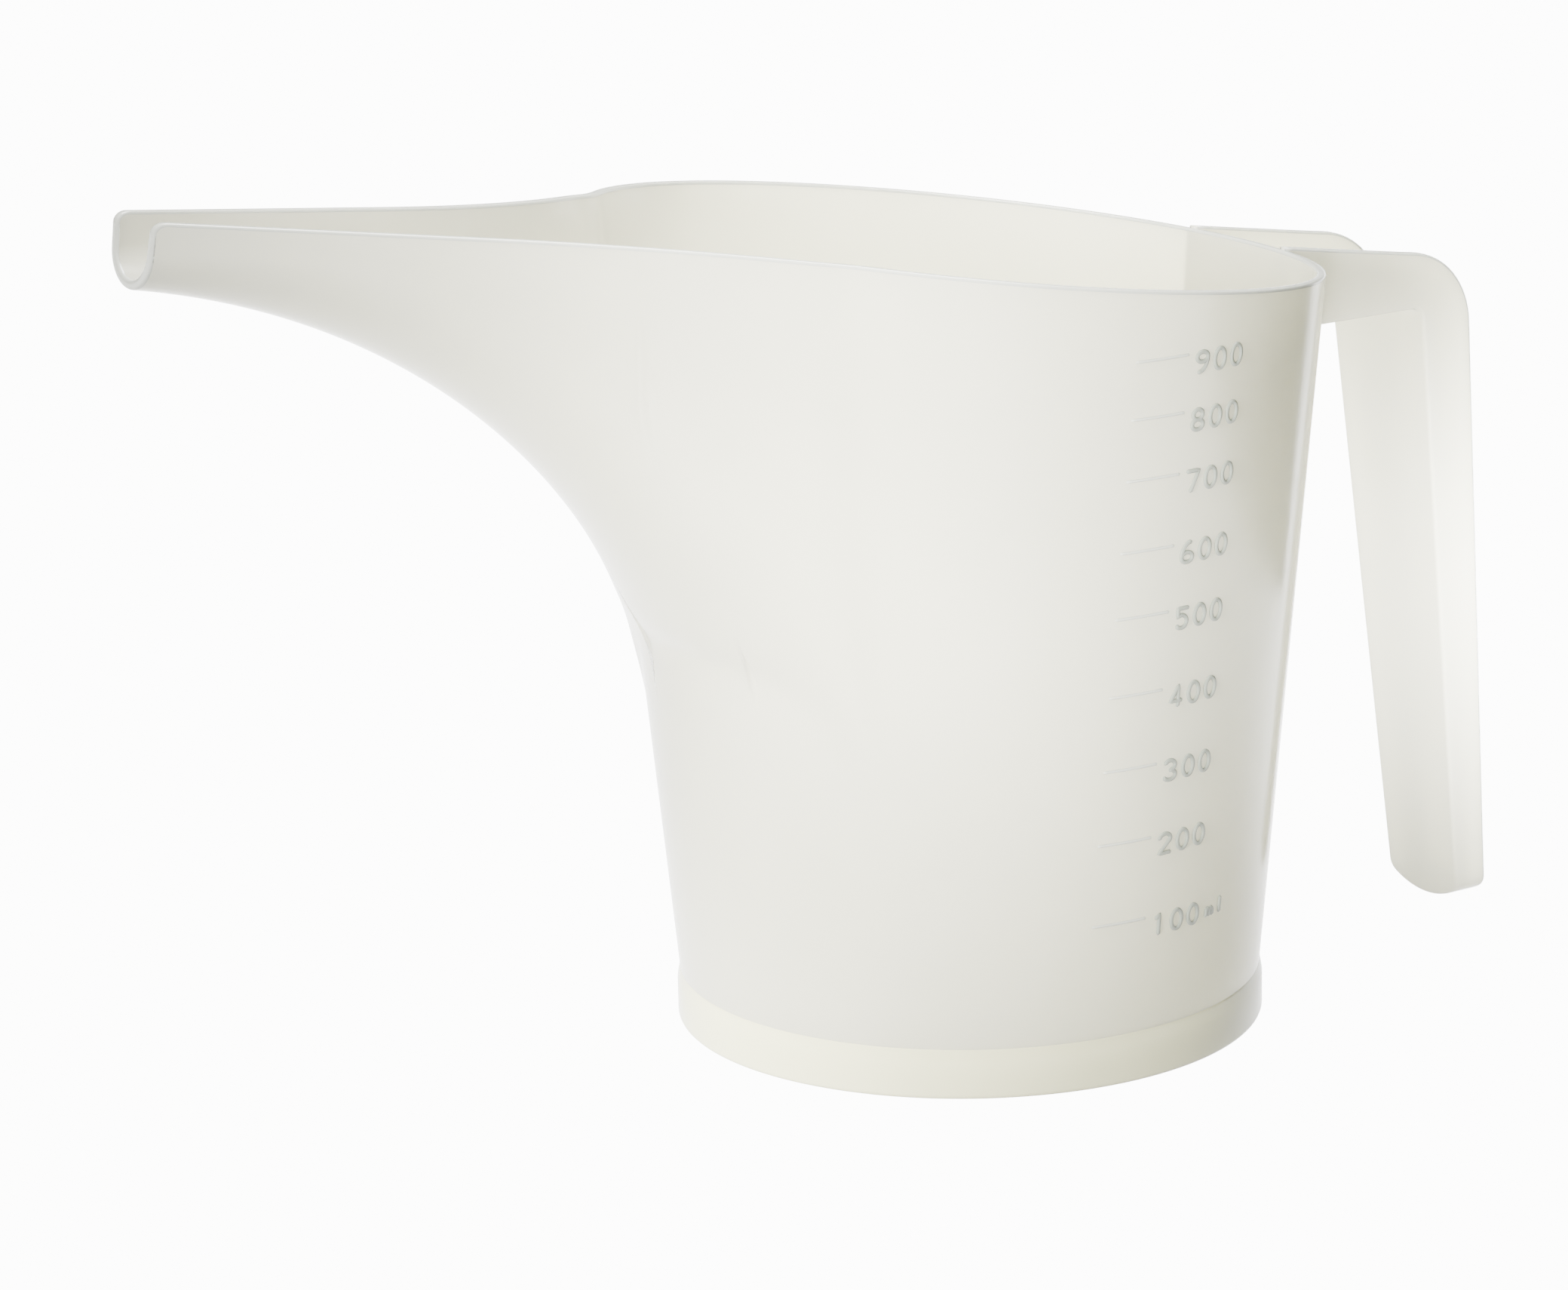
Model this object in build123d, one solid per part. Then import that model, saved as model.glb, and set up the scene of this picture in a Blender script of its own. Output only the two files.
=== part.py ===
from build123d import *
import math
import os

# Funnel pitcher: a thin-walled measuring cup whose front is drawn out into a long, open pouring
# spout, with a channel-section handle at the back and raised graduations on one side.
# Millimetres, +Z up, spout towards -X, handle towards +X, graduations on the -Y side.
# Shapes are worked out about the cup's axis, then moved so that the origin is the bottom
# centre of the whole object's bounding box.

# ---- driving dimensions ----
WALL = 1.5              # moulded wall thickness
FOOT_HEIGHT = 8.0       # height of the foot band, and of the lowest point of the cup wall
FOOT_RADIUS = 47.4      # outside radius of the foot band
FOOT_WIDTH = 3.2        # radial width of the foot band
FOOT_ROUND = 0.8        # edge round at the foot's underside
FLOOR_THICKNESS = 1.6
WALL_BASE_RADIUS = 46.95
WALL_FLARE = 0.0934     # growth in radius per millimetre of height
RIM_HEIGHT = 127.2      # height of the slanted rim plane over the cup's axis
RIM_SLOPE = 0.1445      # rise of the rim plane per millimetre towards the spout

SPOUT_REACH = 145.9     # cup axis to the open tip
TIP_HALF_WIDTH = 5.7    # outside half-width of the trough at the tip, at the rim
SPOUT_TAPER = 0.202     # growth in half-width per millimetre away from the tip
SPOUT_DRAFT = 0.036     # loss in half-width per millimetre below the rim
BLEND_RADIUS = 116.5    # concave radius between the trough's side and the round cup
BLEND_EASE = 1.5        # length over which the blend fades into the cone
BOTTOM_ROUND = 0.9      # depth of the trough's rounded bottom over its half-width
TIP_CORNER = 2.0        # round at the top corner of the tip, whose end plane is square to the rim
DRAFT_FROM_X = -70.0    # the draft is measured down from the rim at this distance from the axis
BEYOND_TIP_CURL = 0.02  # upward curl of the keel past the tip, outside the finished part

KEEL_START = (-44.45, 43.2)  # inside the cup wall, where the spout's keel begins (x, z)
KEEL_START_ANGLE = 13.9 # lean of the keel from vertical there, degrees
KEEL_START_PULL = 42.0
KEEL_TIP_HEIGHT = 137.55
KEEL_TIP_ANGLE = 11.36  # slope of the keel at the tip, degrees
KEEL_TIP_PULL = 56.7
THROAT_X = -35.0        # behind this plane the cup is a plain cone
THROAT_Z = 44.0         # below this plane too
TROUGH_X = -95.0        # the throat meets the narrow trough here

HANDLE_REACH = 101.8    # cup axis to the outermost face of the grip
HANDLE_TOP_WIDTH = 26.1
HANDLE_FOOT_WIDTH = 17.9
HANDLE_WALL = 1.7
HANDLE_CORNER = 14.1    # outside radius where the arm turns down into the grip
HANDLE_BOTTOM = 0.25    # clearance under the grip
HANDLE_TOP_MARGIN = 10.0  # height over the rim where the handle would be HANDLE_TOP_WIDTH wide
ARM_ROOT_X = 40.0       # the arm is drawn from here, inside the cup, and trimmed by the wall
GRIP_END_RADIUS = 15.7  # curve of the grip's bottom edge
GRIP_END_CORNER = 2.6   # round at each end of that edge
GRIP_LEAN = 0.0706      # outward run of the grip's back per millimetre downwards
INNER_CORNER_Z = 105.8  # height of the arm's level lower face, where it meets the grip's inner face
GRIP_DEPTH_TOP = 10.1   # depth of the grip's side flanges at the top
GRIP_DEPTH_FOOT = 6.2   # and at the bottom
INNER_CORNER = 2.0      # radius between those two faces, in the hand gap
ARM_END_X = 76.0        # plane between the arm and the grip

MARK_RELIEF = 0.35      # how far the graduations stand out
MARK_LINE_WIDTH = 0.45
MARK_LINE_LENGTH = 9.6
DIGIT_HEIGHT = 3.15
DIGIT_WIDTH = 2.15
DIGIT_PITCH = 3.65
DIGIT_STROKE = 0.7
MARK_HEIGHTS = {100: 27.0, 200: 40.3, 300: 52.3, 400: 64.3, 500: 76.8,
                600: 87.3, 700: 98.6, 800: 108.2, 900: 117.2}
MARK_ANGLE_LOW = -96.8  # centre of the lowest line, degrees about the cup's axis from +X
MARK_ANGLE_HIGH = -93.3 # and of the highest one
LABEL_GAP = 1.6         # gap from a line's end to its first digit
LABEL_DROP = 1.5        # the numerals' centres lie this far under their line
UNIT_SIZE = 0.7         # the letters ml against the digits, and their places in digit pitches
UNIT_START = 3.1
UNIT_PITCH = 0.75
MARK_SINK = 3.0         # depth inside the wall from which the graduations are extruded

CUP_X = (SPOUT_REACH - HANDLE_REACH) / 2  # cup axis, from the bounding box's centre
BEYOND = 230.0          # a distance that lies outside the whole object
CUT_MARGIN = 20.0       # how far cutting shapes run past what they cut
PAST_TIP_STEPS = 30     # length of the keel's curve past the tip
NEAREST_SHARE = 0.6     # the outline is looked for from this share of the cup's radius outwards
HALVINGS = 44
SMALL = 1e-4
OUTLINE_STEPS = 34      # points on half of a horizontal outline
OUTLINE_CROWDING = 2.2  # how strongly those points crowd towards the spout
SPOUT_LEVELS = (30, 40, 48, 56, 64, 72, 80, 88, 96, 104, 112, 119, 125, 130, 134, 138, 142, 147, 153)
PARAMETER_LEVEL = 130   # the outline that sets the shared spline parameters


# ---- the cup's and spout's shape, as horizontal outlines ----
def cone_radius(z, inset):
    return WALL_BASE_RADIUS + WALL_FLARE * (z - FOOT_HEIGHT) - inset


def rim_z(x):
    return RIM_HEIGHT - RIM_SLOPE * x


def keel_curve(inset, steps=160):
    """Points (x, z) of the keel from inside the cup to beyond the tip, moved up by the inset."""
    start_lean = math.radians(KEEL_START_ANGLE)
    tip_slope = math.radians(KEEL_TIP_ANGLE)
    x0 = KEEL_START[0] + inset
    z0 = KEEL_START[1]
    x3 = -SPOUT_REACH
    z3 = KEEL_TIP_HEIGHT + inset / math.cos(tip_slope)
    x1 = x0 - KEEL_START_PULL * math.sin(start_lean)
    z1 = z0 + KEEL_START_PULL * math.cos(start_lean)
    x2 = x3 + KEEL_TIP_PULL * math.cos(tip_slope)
    z2 = z3 - KEEL_TIP_PULL * math.sin(tip_slope)
    points = [(x0 + BEYOND * math.sin(start_lean), z0 - BEYOND * math.cos(start_lean))]
    for i in range(steps + 1):
        t = i / steps
        a, b, c, d = (1 - t) ** 3, 3 * t * (1 - t) ** 2, 3 * t * t * (1 - t), t ** 3
        points.append((a * x0 + b * x1 + c * x2 + d * x3, a * z0 + b * z1 + c * z2 + d * z3))
    for past in range(1, PAST_TIP_STEPS + 1):
        points.append((x3 - past, z3 + past * math.tan(tip_slope) + BEYOND_TIP_CURL * past ** 2))
    return points[::-1]


def keel_z(keel, x):
    """Height of the keel at x, from its points in order of rising x."""
    low, high = 0, len(keel) - 1
    while high - low > 1:
        middle = (low + high) // 2
        if keel[middle][0] <= x:
            low = middle
        else:
            high = middle
    (x0, z0), (x1, z1) = keel[low], keel[high]
    return z0 + (z1 - z0) * (x - x0) / (x1 - x0)


def side_half_width(x, z, inset):
    """Half-width of the straight spout side, its concave blend, or the cup, whichever is at x."""
    radius = cone_radius(z, inset)
    blend = BLEND_RADIUS + inset
    slant = math.hypot(1, SPOUT_TAPER)
    drafted = SPOUT_DRAFT * (rim_z(DRAFT_FROM_X) - z)
    at_axis = TIP_HALF_WIDTH + SPOUT_TAPER * SPOUT_REACH - drafted - inset * slant
    reach = at_axis + blend * slant
    a = slant ** 2
    b = 2 * SPOUT_TAPER * reach
    c = reach ** 2 - (radius + blend) ** 2
    centre_x = (-b - math.sqrt(b * b - 4 * a * c)) / (2 * a)
    if x > centre_x * radius / (radius + blend):
        return math.sqrt(max(radius ** 2 - x ** 2, 0))
    if x > centre_x + blend * SPOUT_TAPER / slant:
        centre_y = SPOUT_TAPER * centre_x + reach
        return centre_y - math.sqrt(blend ** 2 - (x - centre_x) ** 2)
    return SPOUT_TAPER * x + at_axis


def outline_radius(keel, angle, z, inset):
    """Distance from the cup's axis to the outline at an angle from -X."""
    radius = cone_radius(z, inset)
    low, high = NEAREST_SHARE * radius, BEYOND
    sine, cosine = math.sin(max(angle, SMALL)), math.cos(angle)
    for _ in range(HALVINGS):
        middle = (low + high) / 2
        x = -middle * cosine
        width = side_half_width(x, z, inset)
        rise = (z - keel_z(keel, x)) / max(BOTTOM_ROUND * width, 1.0)
        rise = min(max(rise, 0), 1)
        if middle * sine <= width * math.sqrt(1 - (1 - rise) ** 2):
            low = middle
        else:
            high = middle
    beyond = max(low - radius, 0)
    return radius + beyond * (1 - math.exp(-(beyond / BLEND_EASE) ** 2))


def outline_angles():
    return [math.pi * (i / OUTLINE_STEPS) ** OUTLINE_CROWDING for i in range(OUTLINE_STEPS + 1)]


def outline_points(keel, z, inset):
    """Closed outline at one height, from the tip round by +Y and back by -Y."""
    half = []
    for angle in outline_angles():
        r = outline_radius(keel, angle, z, inset)
        half.append((-r * math.cos(angle), r * math.sin(angle), z))
    half[0] = (half[0][0], 0, z)
    half[-1] = (half[-1][0], 0, z)
    return half + [(x, -y, z) for x, y, z in half[-2:0:-1]]


def outline_parameters(keel, inset):
    """One set of spline parameters for every outline, so that they loft without extra knots."""
    points = outline_points(keel, PARAMETER_LEVEL, inset)
    points.append(points[0])
    steps = [math.dist(p, q) for p, q in zip(points, points[1:])]
    angles = outline_angles()
    turns = [q - p for p, q in zip(angles, angles[1:])]
    turns = turns + turns[::-1]
    total = sum(steps)
    parameters = [0.0]
    for step, turn in zip(steps, turns):
        parameters.append(parameters[-1] + 0.5 * step / total + 0.5 * turn / (2 * math.pi))
    return parameters


def spout_body(inset):
    """Solid bounded by the cup and spout surface, moved inwards by the inset."""
    keel = keel_curve(inset)
    parameters = outline_parameters(keel, inset)
    wires = []
    for z in SPOUT_LEVELS:
        points = outline_points(keel, z, inset)
        wires.append(Wire([Edge.make_spline(points, periodic=True, parameters=parameters)]))
    return Solid.make_loft(wires)


# ---- shared cutting shapes ----
def slab(x0, x1, z0):
    """A block between two X planes, from a height upwards, wider than the object."""
    return Pos((x0 + x1) / 2, 0, z0 + BEYOND / 2) * Box(x1 - x0, 2 * BEYOND, BEYOND)


def side_profile(face, width):
    """Solid from a face drawn in the XZ plane, centred on Y."""
    return extrude(face, amount=width / 2, dir=(0, 1, 0), both=True)


def below_rim():
    """Everything under the slanted rim plane, ending at the tip's plane with its rounded top corner."""
    bottom = -CUT_MARGIN
    right = HANDLE_REACH + CUT_MARGIN
    low_left = -SPOUT_REACH - RIM_SLOPE * (KEEL_TIP_HEIGHT - bottom)
    corner_x = (RIM_SLOPE * (RIM_HEIGHT - KEEL_TIP_HEIGHT) - SPOUT_REACH) / (1 + RIM_SLOPE ** 2)
    outline = Polyline((low_left, 0, bottom), (right, 0, bottom), (right, 0, rim_z(right)),
                       (corner_x, 0, rim_z(corner_x)), close=True)
    face = make_face(outline)
    corner = face.vertices().sort_by(Axis.Z)[-1]
    return side_profile(fillet(corner, TIP_CORNER), 2 * BEYOND)


def cone_solid(z0, z1, inset):
    low, high = cone_radius(z0, inset), cone_radius(z1, inset)
    return Pos(0, 0, (z0 + z1) / 2) * Cone(low, high, z1 - z0)


# ---- cup ----
def foot_ring():
    inner = FOOT_RADIUS - FOOT_WIDTH
    profile = Polyline((inner, 0, 0), (FOOT_RADIUS, 0, 0), (FOOT_RADIUS, 0, FOOT_HEIGHT),
                       (inner, 0, FOOT_HEIGHT), close=True)
    ring = revolve(make_face(profile), Axis.Z)
    lower_edges = ring.edges().filter_by_position(Axis.Z, -0.01, 0.01)
    return fillet(lower_edges, FOOT_ROUND)


def cup_floor():
    return cone_solid(FOOT_HEIGHT, FOOT_HEIGHT + FLOOR_THICKNESS, WALL)


def cup_wall():
    top = rim_z(-SPOUT_REACH)
    shell = cone_solid(FOOT_HEIGHT, top, 0) - cone_solid(FOOT_HEIGHT, top, WALL)
    shell -= slab(-BEYOND, THROAT_X, THROAT_Z)
    return shell & below_rim()


def spout_parts():
    """The throat and the trough: two lengths of the drawn-out front wall."""
    front = (spout_body(0) & below_rim()) - spout_body(WALL)
    throat = front & slab(TROUGH_X, THROAT_X, THROAT_Z)
    trough = front & slab(-BEYOND, TROUGH_X, THROAT_Z)
    return throat, trough


# ---- handle ----
def grip_back_x(z):
    return HANDLE_REACH - GRIP_LEAN * (z - HANDLE_BOTTOM)


def web_x(z):
    """The face of the grip's web that looks at the cup."""
    top = grip_back_x(INNER_CORNER_Z) - GRIP_DEPTH_TOP
    foot = grip_back_x(0) - GRIP_DEPTH_FOOT
    return foot + (top - foot) * z / INNER_CORNER_Z


def handle_side(web_inset, past):
    """Side view of the handle, its web's face moved in by an inset and its open side moved out."""
    lean = (web_x(INNER_CORNER_Z) - web_x(0)) / INNER_CORNER_Z
    across = web_inset * math.hypot(1, lean)
    turn = (web_x(INNER_CORNER_Z) + across + lean * web_inset, 0, INNER_CORNER_Z + web_inset)
    web_foot = (web_x(0) + across, 0, 0)
    web_root = (ARM_ROOT_X, 0, turn[2])
    corner_x = grip_back_x(rim_z(0)) / (1 - GRIP_LEAN * RIM_SLOPE)
    corner = (corner_x + past, 0, rim_z(corner_x) + past)
    root = (ARM_ROOT_X, 0, rim_z(ARM_ROOT_X) + past)
    foot = (grip_back_x(0) + past, 0, 0)
    face = make_face(Polyline(root, corner, foot, web_foot, turn, web_root, close=True))
    if past == 0:
        face = fillet(nearest_vertex(face, corner), HANDLE_CORNER)
    return fillet(nearest_vertex(face, turn), INNER_CORNER + web_inset)


def nearest_vertex(face, point):
    return min(face.vertices(), key=lambda v: math.dist((v.X, v.Y, v.Z), point))


def handle_front(inset):
    """Front view of the handle: a long taper with a curved end, drawn in the YZ plane."""
    top = rim_z(0) + HANDLE_TOP_MARGIN
    half_top = HANDLE_TOP_WIDTH / 2 - inset
    half_foot = HANDLE_FOOT_WIDTH / 2 - inset
    bottom = HANDLE_BOTTOM + inset
    radius = GRIP_END_RADIUS - inset
    corner_z = bottom + radius - math.sqrt(radius ** 2 - half_foot ** 2)
    outline = [
        Line((0, half_top, top), (0, half_foot, corner_z)),
        ThreePointArc((0, half_foot, corner_z), (0, 0, bottom), (0, -half_foot, corner_z)),
        Line((0, -half_foot, corner_z), (0, -half_top, top)),
        Line((0, -half_top, top), (0, half_top, top)),
    ]
    face = make_face(outline)
    corners = face.vertices().sort_by(Axis.Z)[:2]
    return extrude(fillet(corners, GRIP_END_CORNER - inset), amount=BEYOND, dir=(1, 0, 0))


def handle():
    """Channel open upwards and outwards: a web towards the hand gap, with a flange round its edge."""
    width = HANDLE_TOP_WIDTH + CUT_MARGIN
    outer = side_profile(handle_side(0, 0), width) & handle_front(0)
    channel = side_profile(handle_side(HANDLE_WALL, CUT_MARGIN), width) & handle_front(HANDLE_WALL)
    return (outer - channel) - cone_solid(-CUT_MARGIN, BEYOND, 0)


# ---- graduations ----
def loop(centre_y, half_width, half_height):
    return Edge.make_ellipse(half_width, half_height, Plane((0, centre_y, 0)))


def digit(character):
    """Centre lines of one character in a cell DIGIT_WIDTH by DIGIT_HEIGHT, centred on 0, 0."""
    w, h = DIGIT_WIDTH / 2, DIGIT_HEIGHT / 2
    q = h / 2
    strokes = {
        "0": [loop(0, w, h)],
        "1": [Polyline((-w / 2, q * 1.3), (0, h), (0, -h))],
        "2": [ThreePointArc((-w, q), (0, h), (w, q)), Polyline((w, q), (-w, -h), (w, -h))],
        "3": [ThreePointArc((-w, h * 0.7), (w * 0.9, q), (-w * 0.2, 0)),
              ThreePointArc((-w * 0.2, 0), (w, -q), (-w, -h * 0.7))],
        "4": [Polyline((w, -q), (-w, -q), (w * 0.4, h)), Line((w * 0.4, h), (w * 0.4, -h))],
        "5": [Polyline((w, h), (-w * 0.8, h), (-w, q * 0.4)),
              ThreePointArc((-w, q * 0.4), (w, -q), (-w, -h * 0.8))],
        "6": [loop(-q, w, q),
              ThreePointArc((-w, -q), (-w * 0.6, q), (w * 0.6, h))],
        "7": [Polyline((-w, h), (w, h), (-w * 0.3, -h))],
        "8": [loop(q, w * 0.85, q), loop(-q, w, q)],
        "9": [loop(q, w, q),
              ThreePointArc((w, q), (w * 0.6, -q), (-w * 0.6, -h))],
        "m": [Line((-w, -h), (-w, 0)), ThreePointArc((-w, -q), (-w / 2, 0), (0, -q)),
              Line((0, -q), (0, -h)), ThreePointArc((0, -q), (w / 2, 0), (w, -q)),
              Line((w, -q), (w, -h))],
        "l": [Line((0, -h), (0, h))],
    }
    return strokes[character]


def character_face(character, size=1.0):
    """One character as a flat face, made smaller by a factor with the stroke kept."""
    face = Sketch()
    for stroke in digit(character):
        face += trace(stroke, DIGIT_STROKE / size)
    return Pos(0, -LABEL_DROP, 0) * scale(face, by=size)


def mark_plane(angle, z):
    """Plane facing outwards on the cup wall, with its X along the direction of reading."""
    turn = math.radians(angle)
    outward = (math.cos(turn), math.sin(turn), 0)
    along = (-math.sin(turn), math.cos(turn), 0)
    r = cone_radius(z, 0) - MARK_SINK
    return Plane(origin=(r * outward[0], r * outward[1], z), x_dir=along, z_dir=outward)


def relief_shell():
    return cone_solid(FOOT_HEIGHT, RIM_HEIGHT, -MARK_RELIEF) - cone_solid(FOOT_HEIGHT, RIM_HEIGHT, 0)


def raised(face, plane, shell):
    return (extrude(plane * face, amount=2 * MARK_SINK) & shell).solids()


def graduation(value, shell):
    """The raised line of one graduation, and its raised numerals."""
    z = MARK_HEIGHTS[value]
    share = (z - MARK_HEIGHTS[100]) / (MARK_HEIGHTS[900] - MARK_HEIGHTS[100])
    line_angle = MARK_ANGLE_LOW + share * (MARK_ANGLE_HIGH - MARK_ANGLE_LOW)
    degrees_per_mm = math.degrees(1 / cone_radius(z, 0))
    line = raised(Rectangle(MARK_LINE_LENGTH, MARK_LINE_WIDTH), mark_plane(line_angle, z), shell)
    label = str(value)
    reach = MARK_LINE_LENGTH / 2 + LABEL_GAP + DIGIT_WIDTH / 2
    numerals = []
    for i, character in enumerate(label):
        angle = line_angle + (reach + i * DIGIT_PITCH) * degrees_per_mm
        numerals += raised(character_face(character), mark_plane(angle, z), shell)
    if value == 100:
        for i, character in enumerate("ml"):
            along = reach + (UNIT_START + UNIT_PITCH * i) * DIGIT_PITCH
            angle = line_angle + along * degrees_per_mm
            numerals += raised(character_face(character, UNIT_SIZE), mark_plane(angle, z), shell)
    return line, numerals


# ---- write the parts ----
def write_part(name, solids):
    placed = [Pos(CUP_X, 0, 0) * solid for solid in solids]
    shape = placed[0] if len(placed) == 1 else Compound(children=placed)
    export_step(shape, os.path.join("parts", name + ".step"))


def main():
    os.makedirs("parts", exist_ok=True)
    throat, trough = spout_parts()
    whole_handle = handle()
    arm = whole_handle & slab(0, ARM_END_X, -CUT_MARGIN)
    grip = whole_handle & slab(ARM_END_X, BEYOND, -CUT_MARGIN)
    shell = relief_shell()
    lines = []
    numerals = []
    for value in MARK_HEIGHTS:
        line, label = graduation(value, shell)
        lines += line
        numerals += label
    parts = {
        "foot_ring": foot_ring().solids(),
        "cup_floor": cup_floor().solids(),
        "cup_wall": cup_wall().solids(),
        "spout_throat": throat.solids(),
        "spout_trough": trough.solids(),
        "handle_arm": arm.solids(),
        "handle_grip": grip.solids(),
        "graduation_lines": lines,
        "graduation_numerals": numerals,
    }
    for name, solids in parts.items():
        write_part(name, solids)


main()
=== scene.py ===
"""Funnel pitcher: a translucent measuring cup with a long open spout and a channel handle.

Shapes are worked out in millimetres about the cup's axis, spout towards -X, handle towards +X,
graduations on the -Y side, and placed in the row frame in metres when a mesh is made.
"""
import math

import bmesh
import bpy
import numpy as np
from mathutils import Matrix, Vector

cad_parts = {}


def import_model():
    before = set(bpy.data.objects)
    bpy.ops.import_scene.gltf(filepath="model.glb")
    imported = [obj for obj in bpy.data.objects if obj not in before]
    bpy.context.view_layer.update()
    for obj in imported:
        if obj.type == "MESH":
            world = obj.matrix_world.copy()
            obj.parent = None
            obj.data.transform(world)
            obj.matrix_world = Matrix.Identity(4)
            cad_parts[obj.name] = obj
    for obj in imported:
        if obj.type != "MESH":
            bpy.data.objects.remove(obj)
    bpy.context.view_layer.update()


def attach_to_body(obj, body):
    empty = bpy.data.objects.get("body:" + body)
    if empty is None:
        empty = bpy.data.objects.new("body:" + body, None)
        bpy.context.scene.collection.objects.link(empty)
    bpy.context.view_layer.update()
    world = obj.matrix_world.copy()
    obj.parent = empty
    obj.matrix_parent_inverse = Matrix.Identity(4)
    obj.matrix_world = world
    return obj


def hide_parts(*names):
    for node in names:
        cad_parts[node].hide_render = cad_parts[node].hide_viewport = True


# ---- placing ----
MM = 0.001
CUP_X = 22.05             # cup axis, from the centre of the whole object's box

# ---- cup and spout, as in the CAD ----
WALL = 1.5
FOOT_HEIGHT = 8.0
FOOT_RADIUS = 47.4
FOOT_WIDTH = 3.2
FLOOR_TOP = 9.6
WALL_BASE_RADIUS = 46.95
WALL_FLARE = 0.0934
RIM_HEIGHT = 127.2
RIM_SLOPE = 0.1445
SPOUT_REACH = 145.9
TIP_HALF_WIDTH = 5.7
SPOUT_TAPER = 0.202
SPOUT_DRAFT = 0.036
DRAFT_FROM_X = -70.0
BLEND_RADIUS = 116.5
BLEND_EASE = 1.5
BOTTOM_ROUND = 0.9
TIP_CORNER = 2.0
KEEL_START = (-44.45, 43.2)
KEEL_START_ANGLE = math.radians(13.9)
KEEL_START_PULL = 42.0
KEEL_TIP_HEIGHT = 137.55
KEEL_TIP_ANGLE = math.radians(11.36)
KEEL_TIP_PULL = 56.7
BEYOND_TIP_CURL = 0.02   # upward curl of the keel past the tip, outside the finished shape
PAST_TIP = 30            # how far the keel is drawn on past the tip
BEYOND = 200.0           # how far the keel's line is drawn on below its start
REACH_LIMIT = 230.0      # upper bound in the search for the outline's distance from the axis
REACH_LEAST = 0.6        # and lower bound, as a share of the cup's radius
HALVINGS = 40            # steps of that search

# ---- mesh density and edge rounds ----
SEAM_X = -74.0           # the trough's own sections begin in front of this plane
FRONT_COLUMNS = 44       # columns on each side that run into the trough
BACK_COLUMNS = 96        # columns on each side that end at the cup's rim
COLUMN_CROWDING = 1.6    # over 1, columns crowd towards the keel
WALL_ROWS = 96
COARSE_BELOW = 40.0      # heights are sampled coarsely below this level, finely above it
COARSE_LEVELS = 40
FINE_LEVELS = 800
SPREAD_OVER = 1.6        # over 1, the trough's columns are even before the tip
TROUGH_ROWS = 64
EDGE_ROUND = 0.55        # round of the rim and tip edges
ROUND_STEPS = 4
FLOOR_FILLET = 3.0
SKIRT = 0.9              # depth of the wall's lower edge inside the foot band
FOOT_ROUND = 0.8
SEAT = 0.6               # overlap that hides the wall's lower edge in the foot band
FLOOR_RINGS = (0.9, 0.75, 0.6, 0.45, 0.3, 0.18, 0.08, 0.0)  # shares of the floor's radius
UNDERSIDE_RINGS = (0.97, 0.85, 0.7, 0.55, 0.4, 0.25, 0.12)
GATE = ((2.2, 0.0), (1.7, -0.1), (1.4, -0.55), (1.0, -0.7), (0.0, -0.7))  # gate mark: radius, height

# ---- handle ----
HANDLE_REACH = 101.8
GRIP_TRIM = 0.01         # holds the rounded grip just inside the frame's bounding box
HANDLE_TOP_WIDTH = 26.1
HANDLE_FOOT_WIDTH = 17.9
HANDLE_WALL = 1.7
HANDLE_CORNER = 14.1
HANDLE_BOTTOM = 0.25
GRIP_END_RADIUS = 15.7
GRIP_END_CORNER = 2.6
GRIP_LEAN = 0.0706
INNER_CORNER_Z = 105.8
GRIP_DEPTH_TOP = 10.1
GRIP_DEPTH_FOOT = 6.2
INNER_CORNER = 2.0
HANDLE_TOP_MARGIN = 10.0  # height over the rim where the handle would be HANDLE_TOP_WIDTH wide
HANDLE_EDGE = 0.75       # round between the web and the flanges
FREE_EDGE = 0.45         # round of the flanges' free edges
ARM_ROOT_X = 52.0        # the arm is drawn from here, then moved to the cup's wall
ROOT_DEPTH = 0.8         # depth of the arm's root inside the wall
ARM_ROWS = 16
GRIP_ROWS = 60
CORNER_STEPS = 16        # points round the handle's outer and inner corner
END_STEPS = 60           # points of half the grip's curved bottom edge, before every third is kept
END_CORNER_STEPS = 12
END_GAP = 0.15           # least gap between the corner's round and the next point of that edge
SIDE_Z = 30.0            # a height on the grip's straight side

# ---- graduations ----
MARK_RELIEF = 0.33
MARK_LINE_WIDTH = 0.45
MARK_LINE_LENGTH = 9.6
DIGIT_HEIGHT = 3.15
DIGIT_WIDTH = 2.15
DIGIT_PITCH = 3.65
DIGIT_STROKE = 0.7
MARK_HEIGHTS = {100: 27.0, 200: 40.3, 300: 52.3, 400: 64.3, 500: 76.8,
                600: 87.3, 700: 98.6, 800: 108.2, 900: 117.2}
MARK_ANGLE_LOW = -96.8
MARK_ANGLE_HIGH = -93.3
LABEL_GAP = 1.6
LABEL_DROP = 1.5
UNIT_SIZE = 0.7          # the letters ml against the digits
UNIT_PLACES = (("m", 3.1), ("l", 3.85))  # and their places, in digit pitches
BEAD_SHAPE = ((-1.0, -0.5), (-1.0, 0.2), (-0.8, 0.72), (-0.4, 0.96), (0, 1),
              (0.4, 0.96), (0.8, 0.72), (1.0, 0.2), (1.0, -0.5))  # across, up: shares of a stroke
END_SWELL = 0.35         # size of a stroke's section at its ends
END_REACH = 0.4          # length of the end, against the stroke's width
STROKE_STEP = 0.35       # longest gap between two points of a stroke
LINE_END = 0.2           # a line's stroke stops this far short of the line's length

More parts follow.
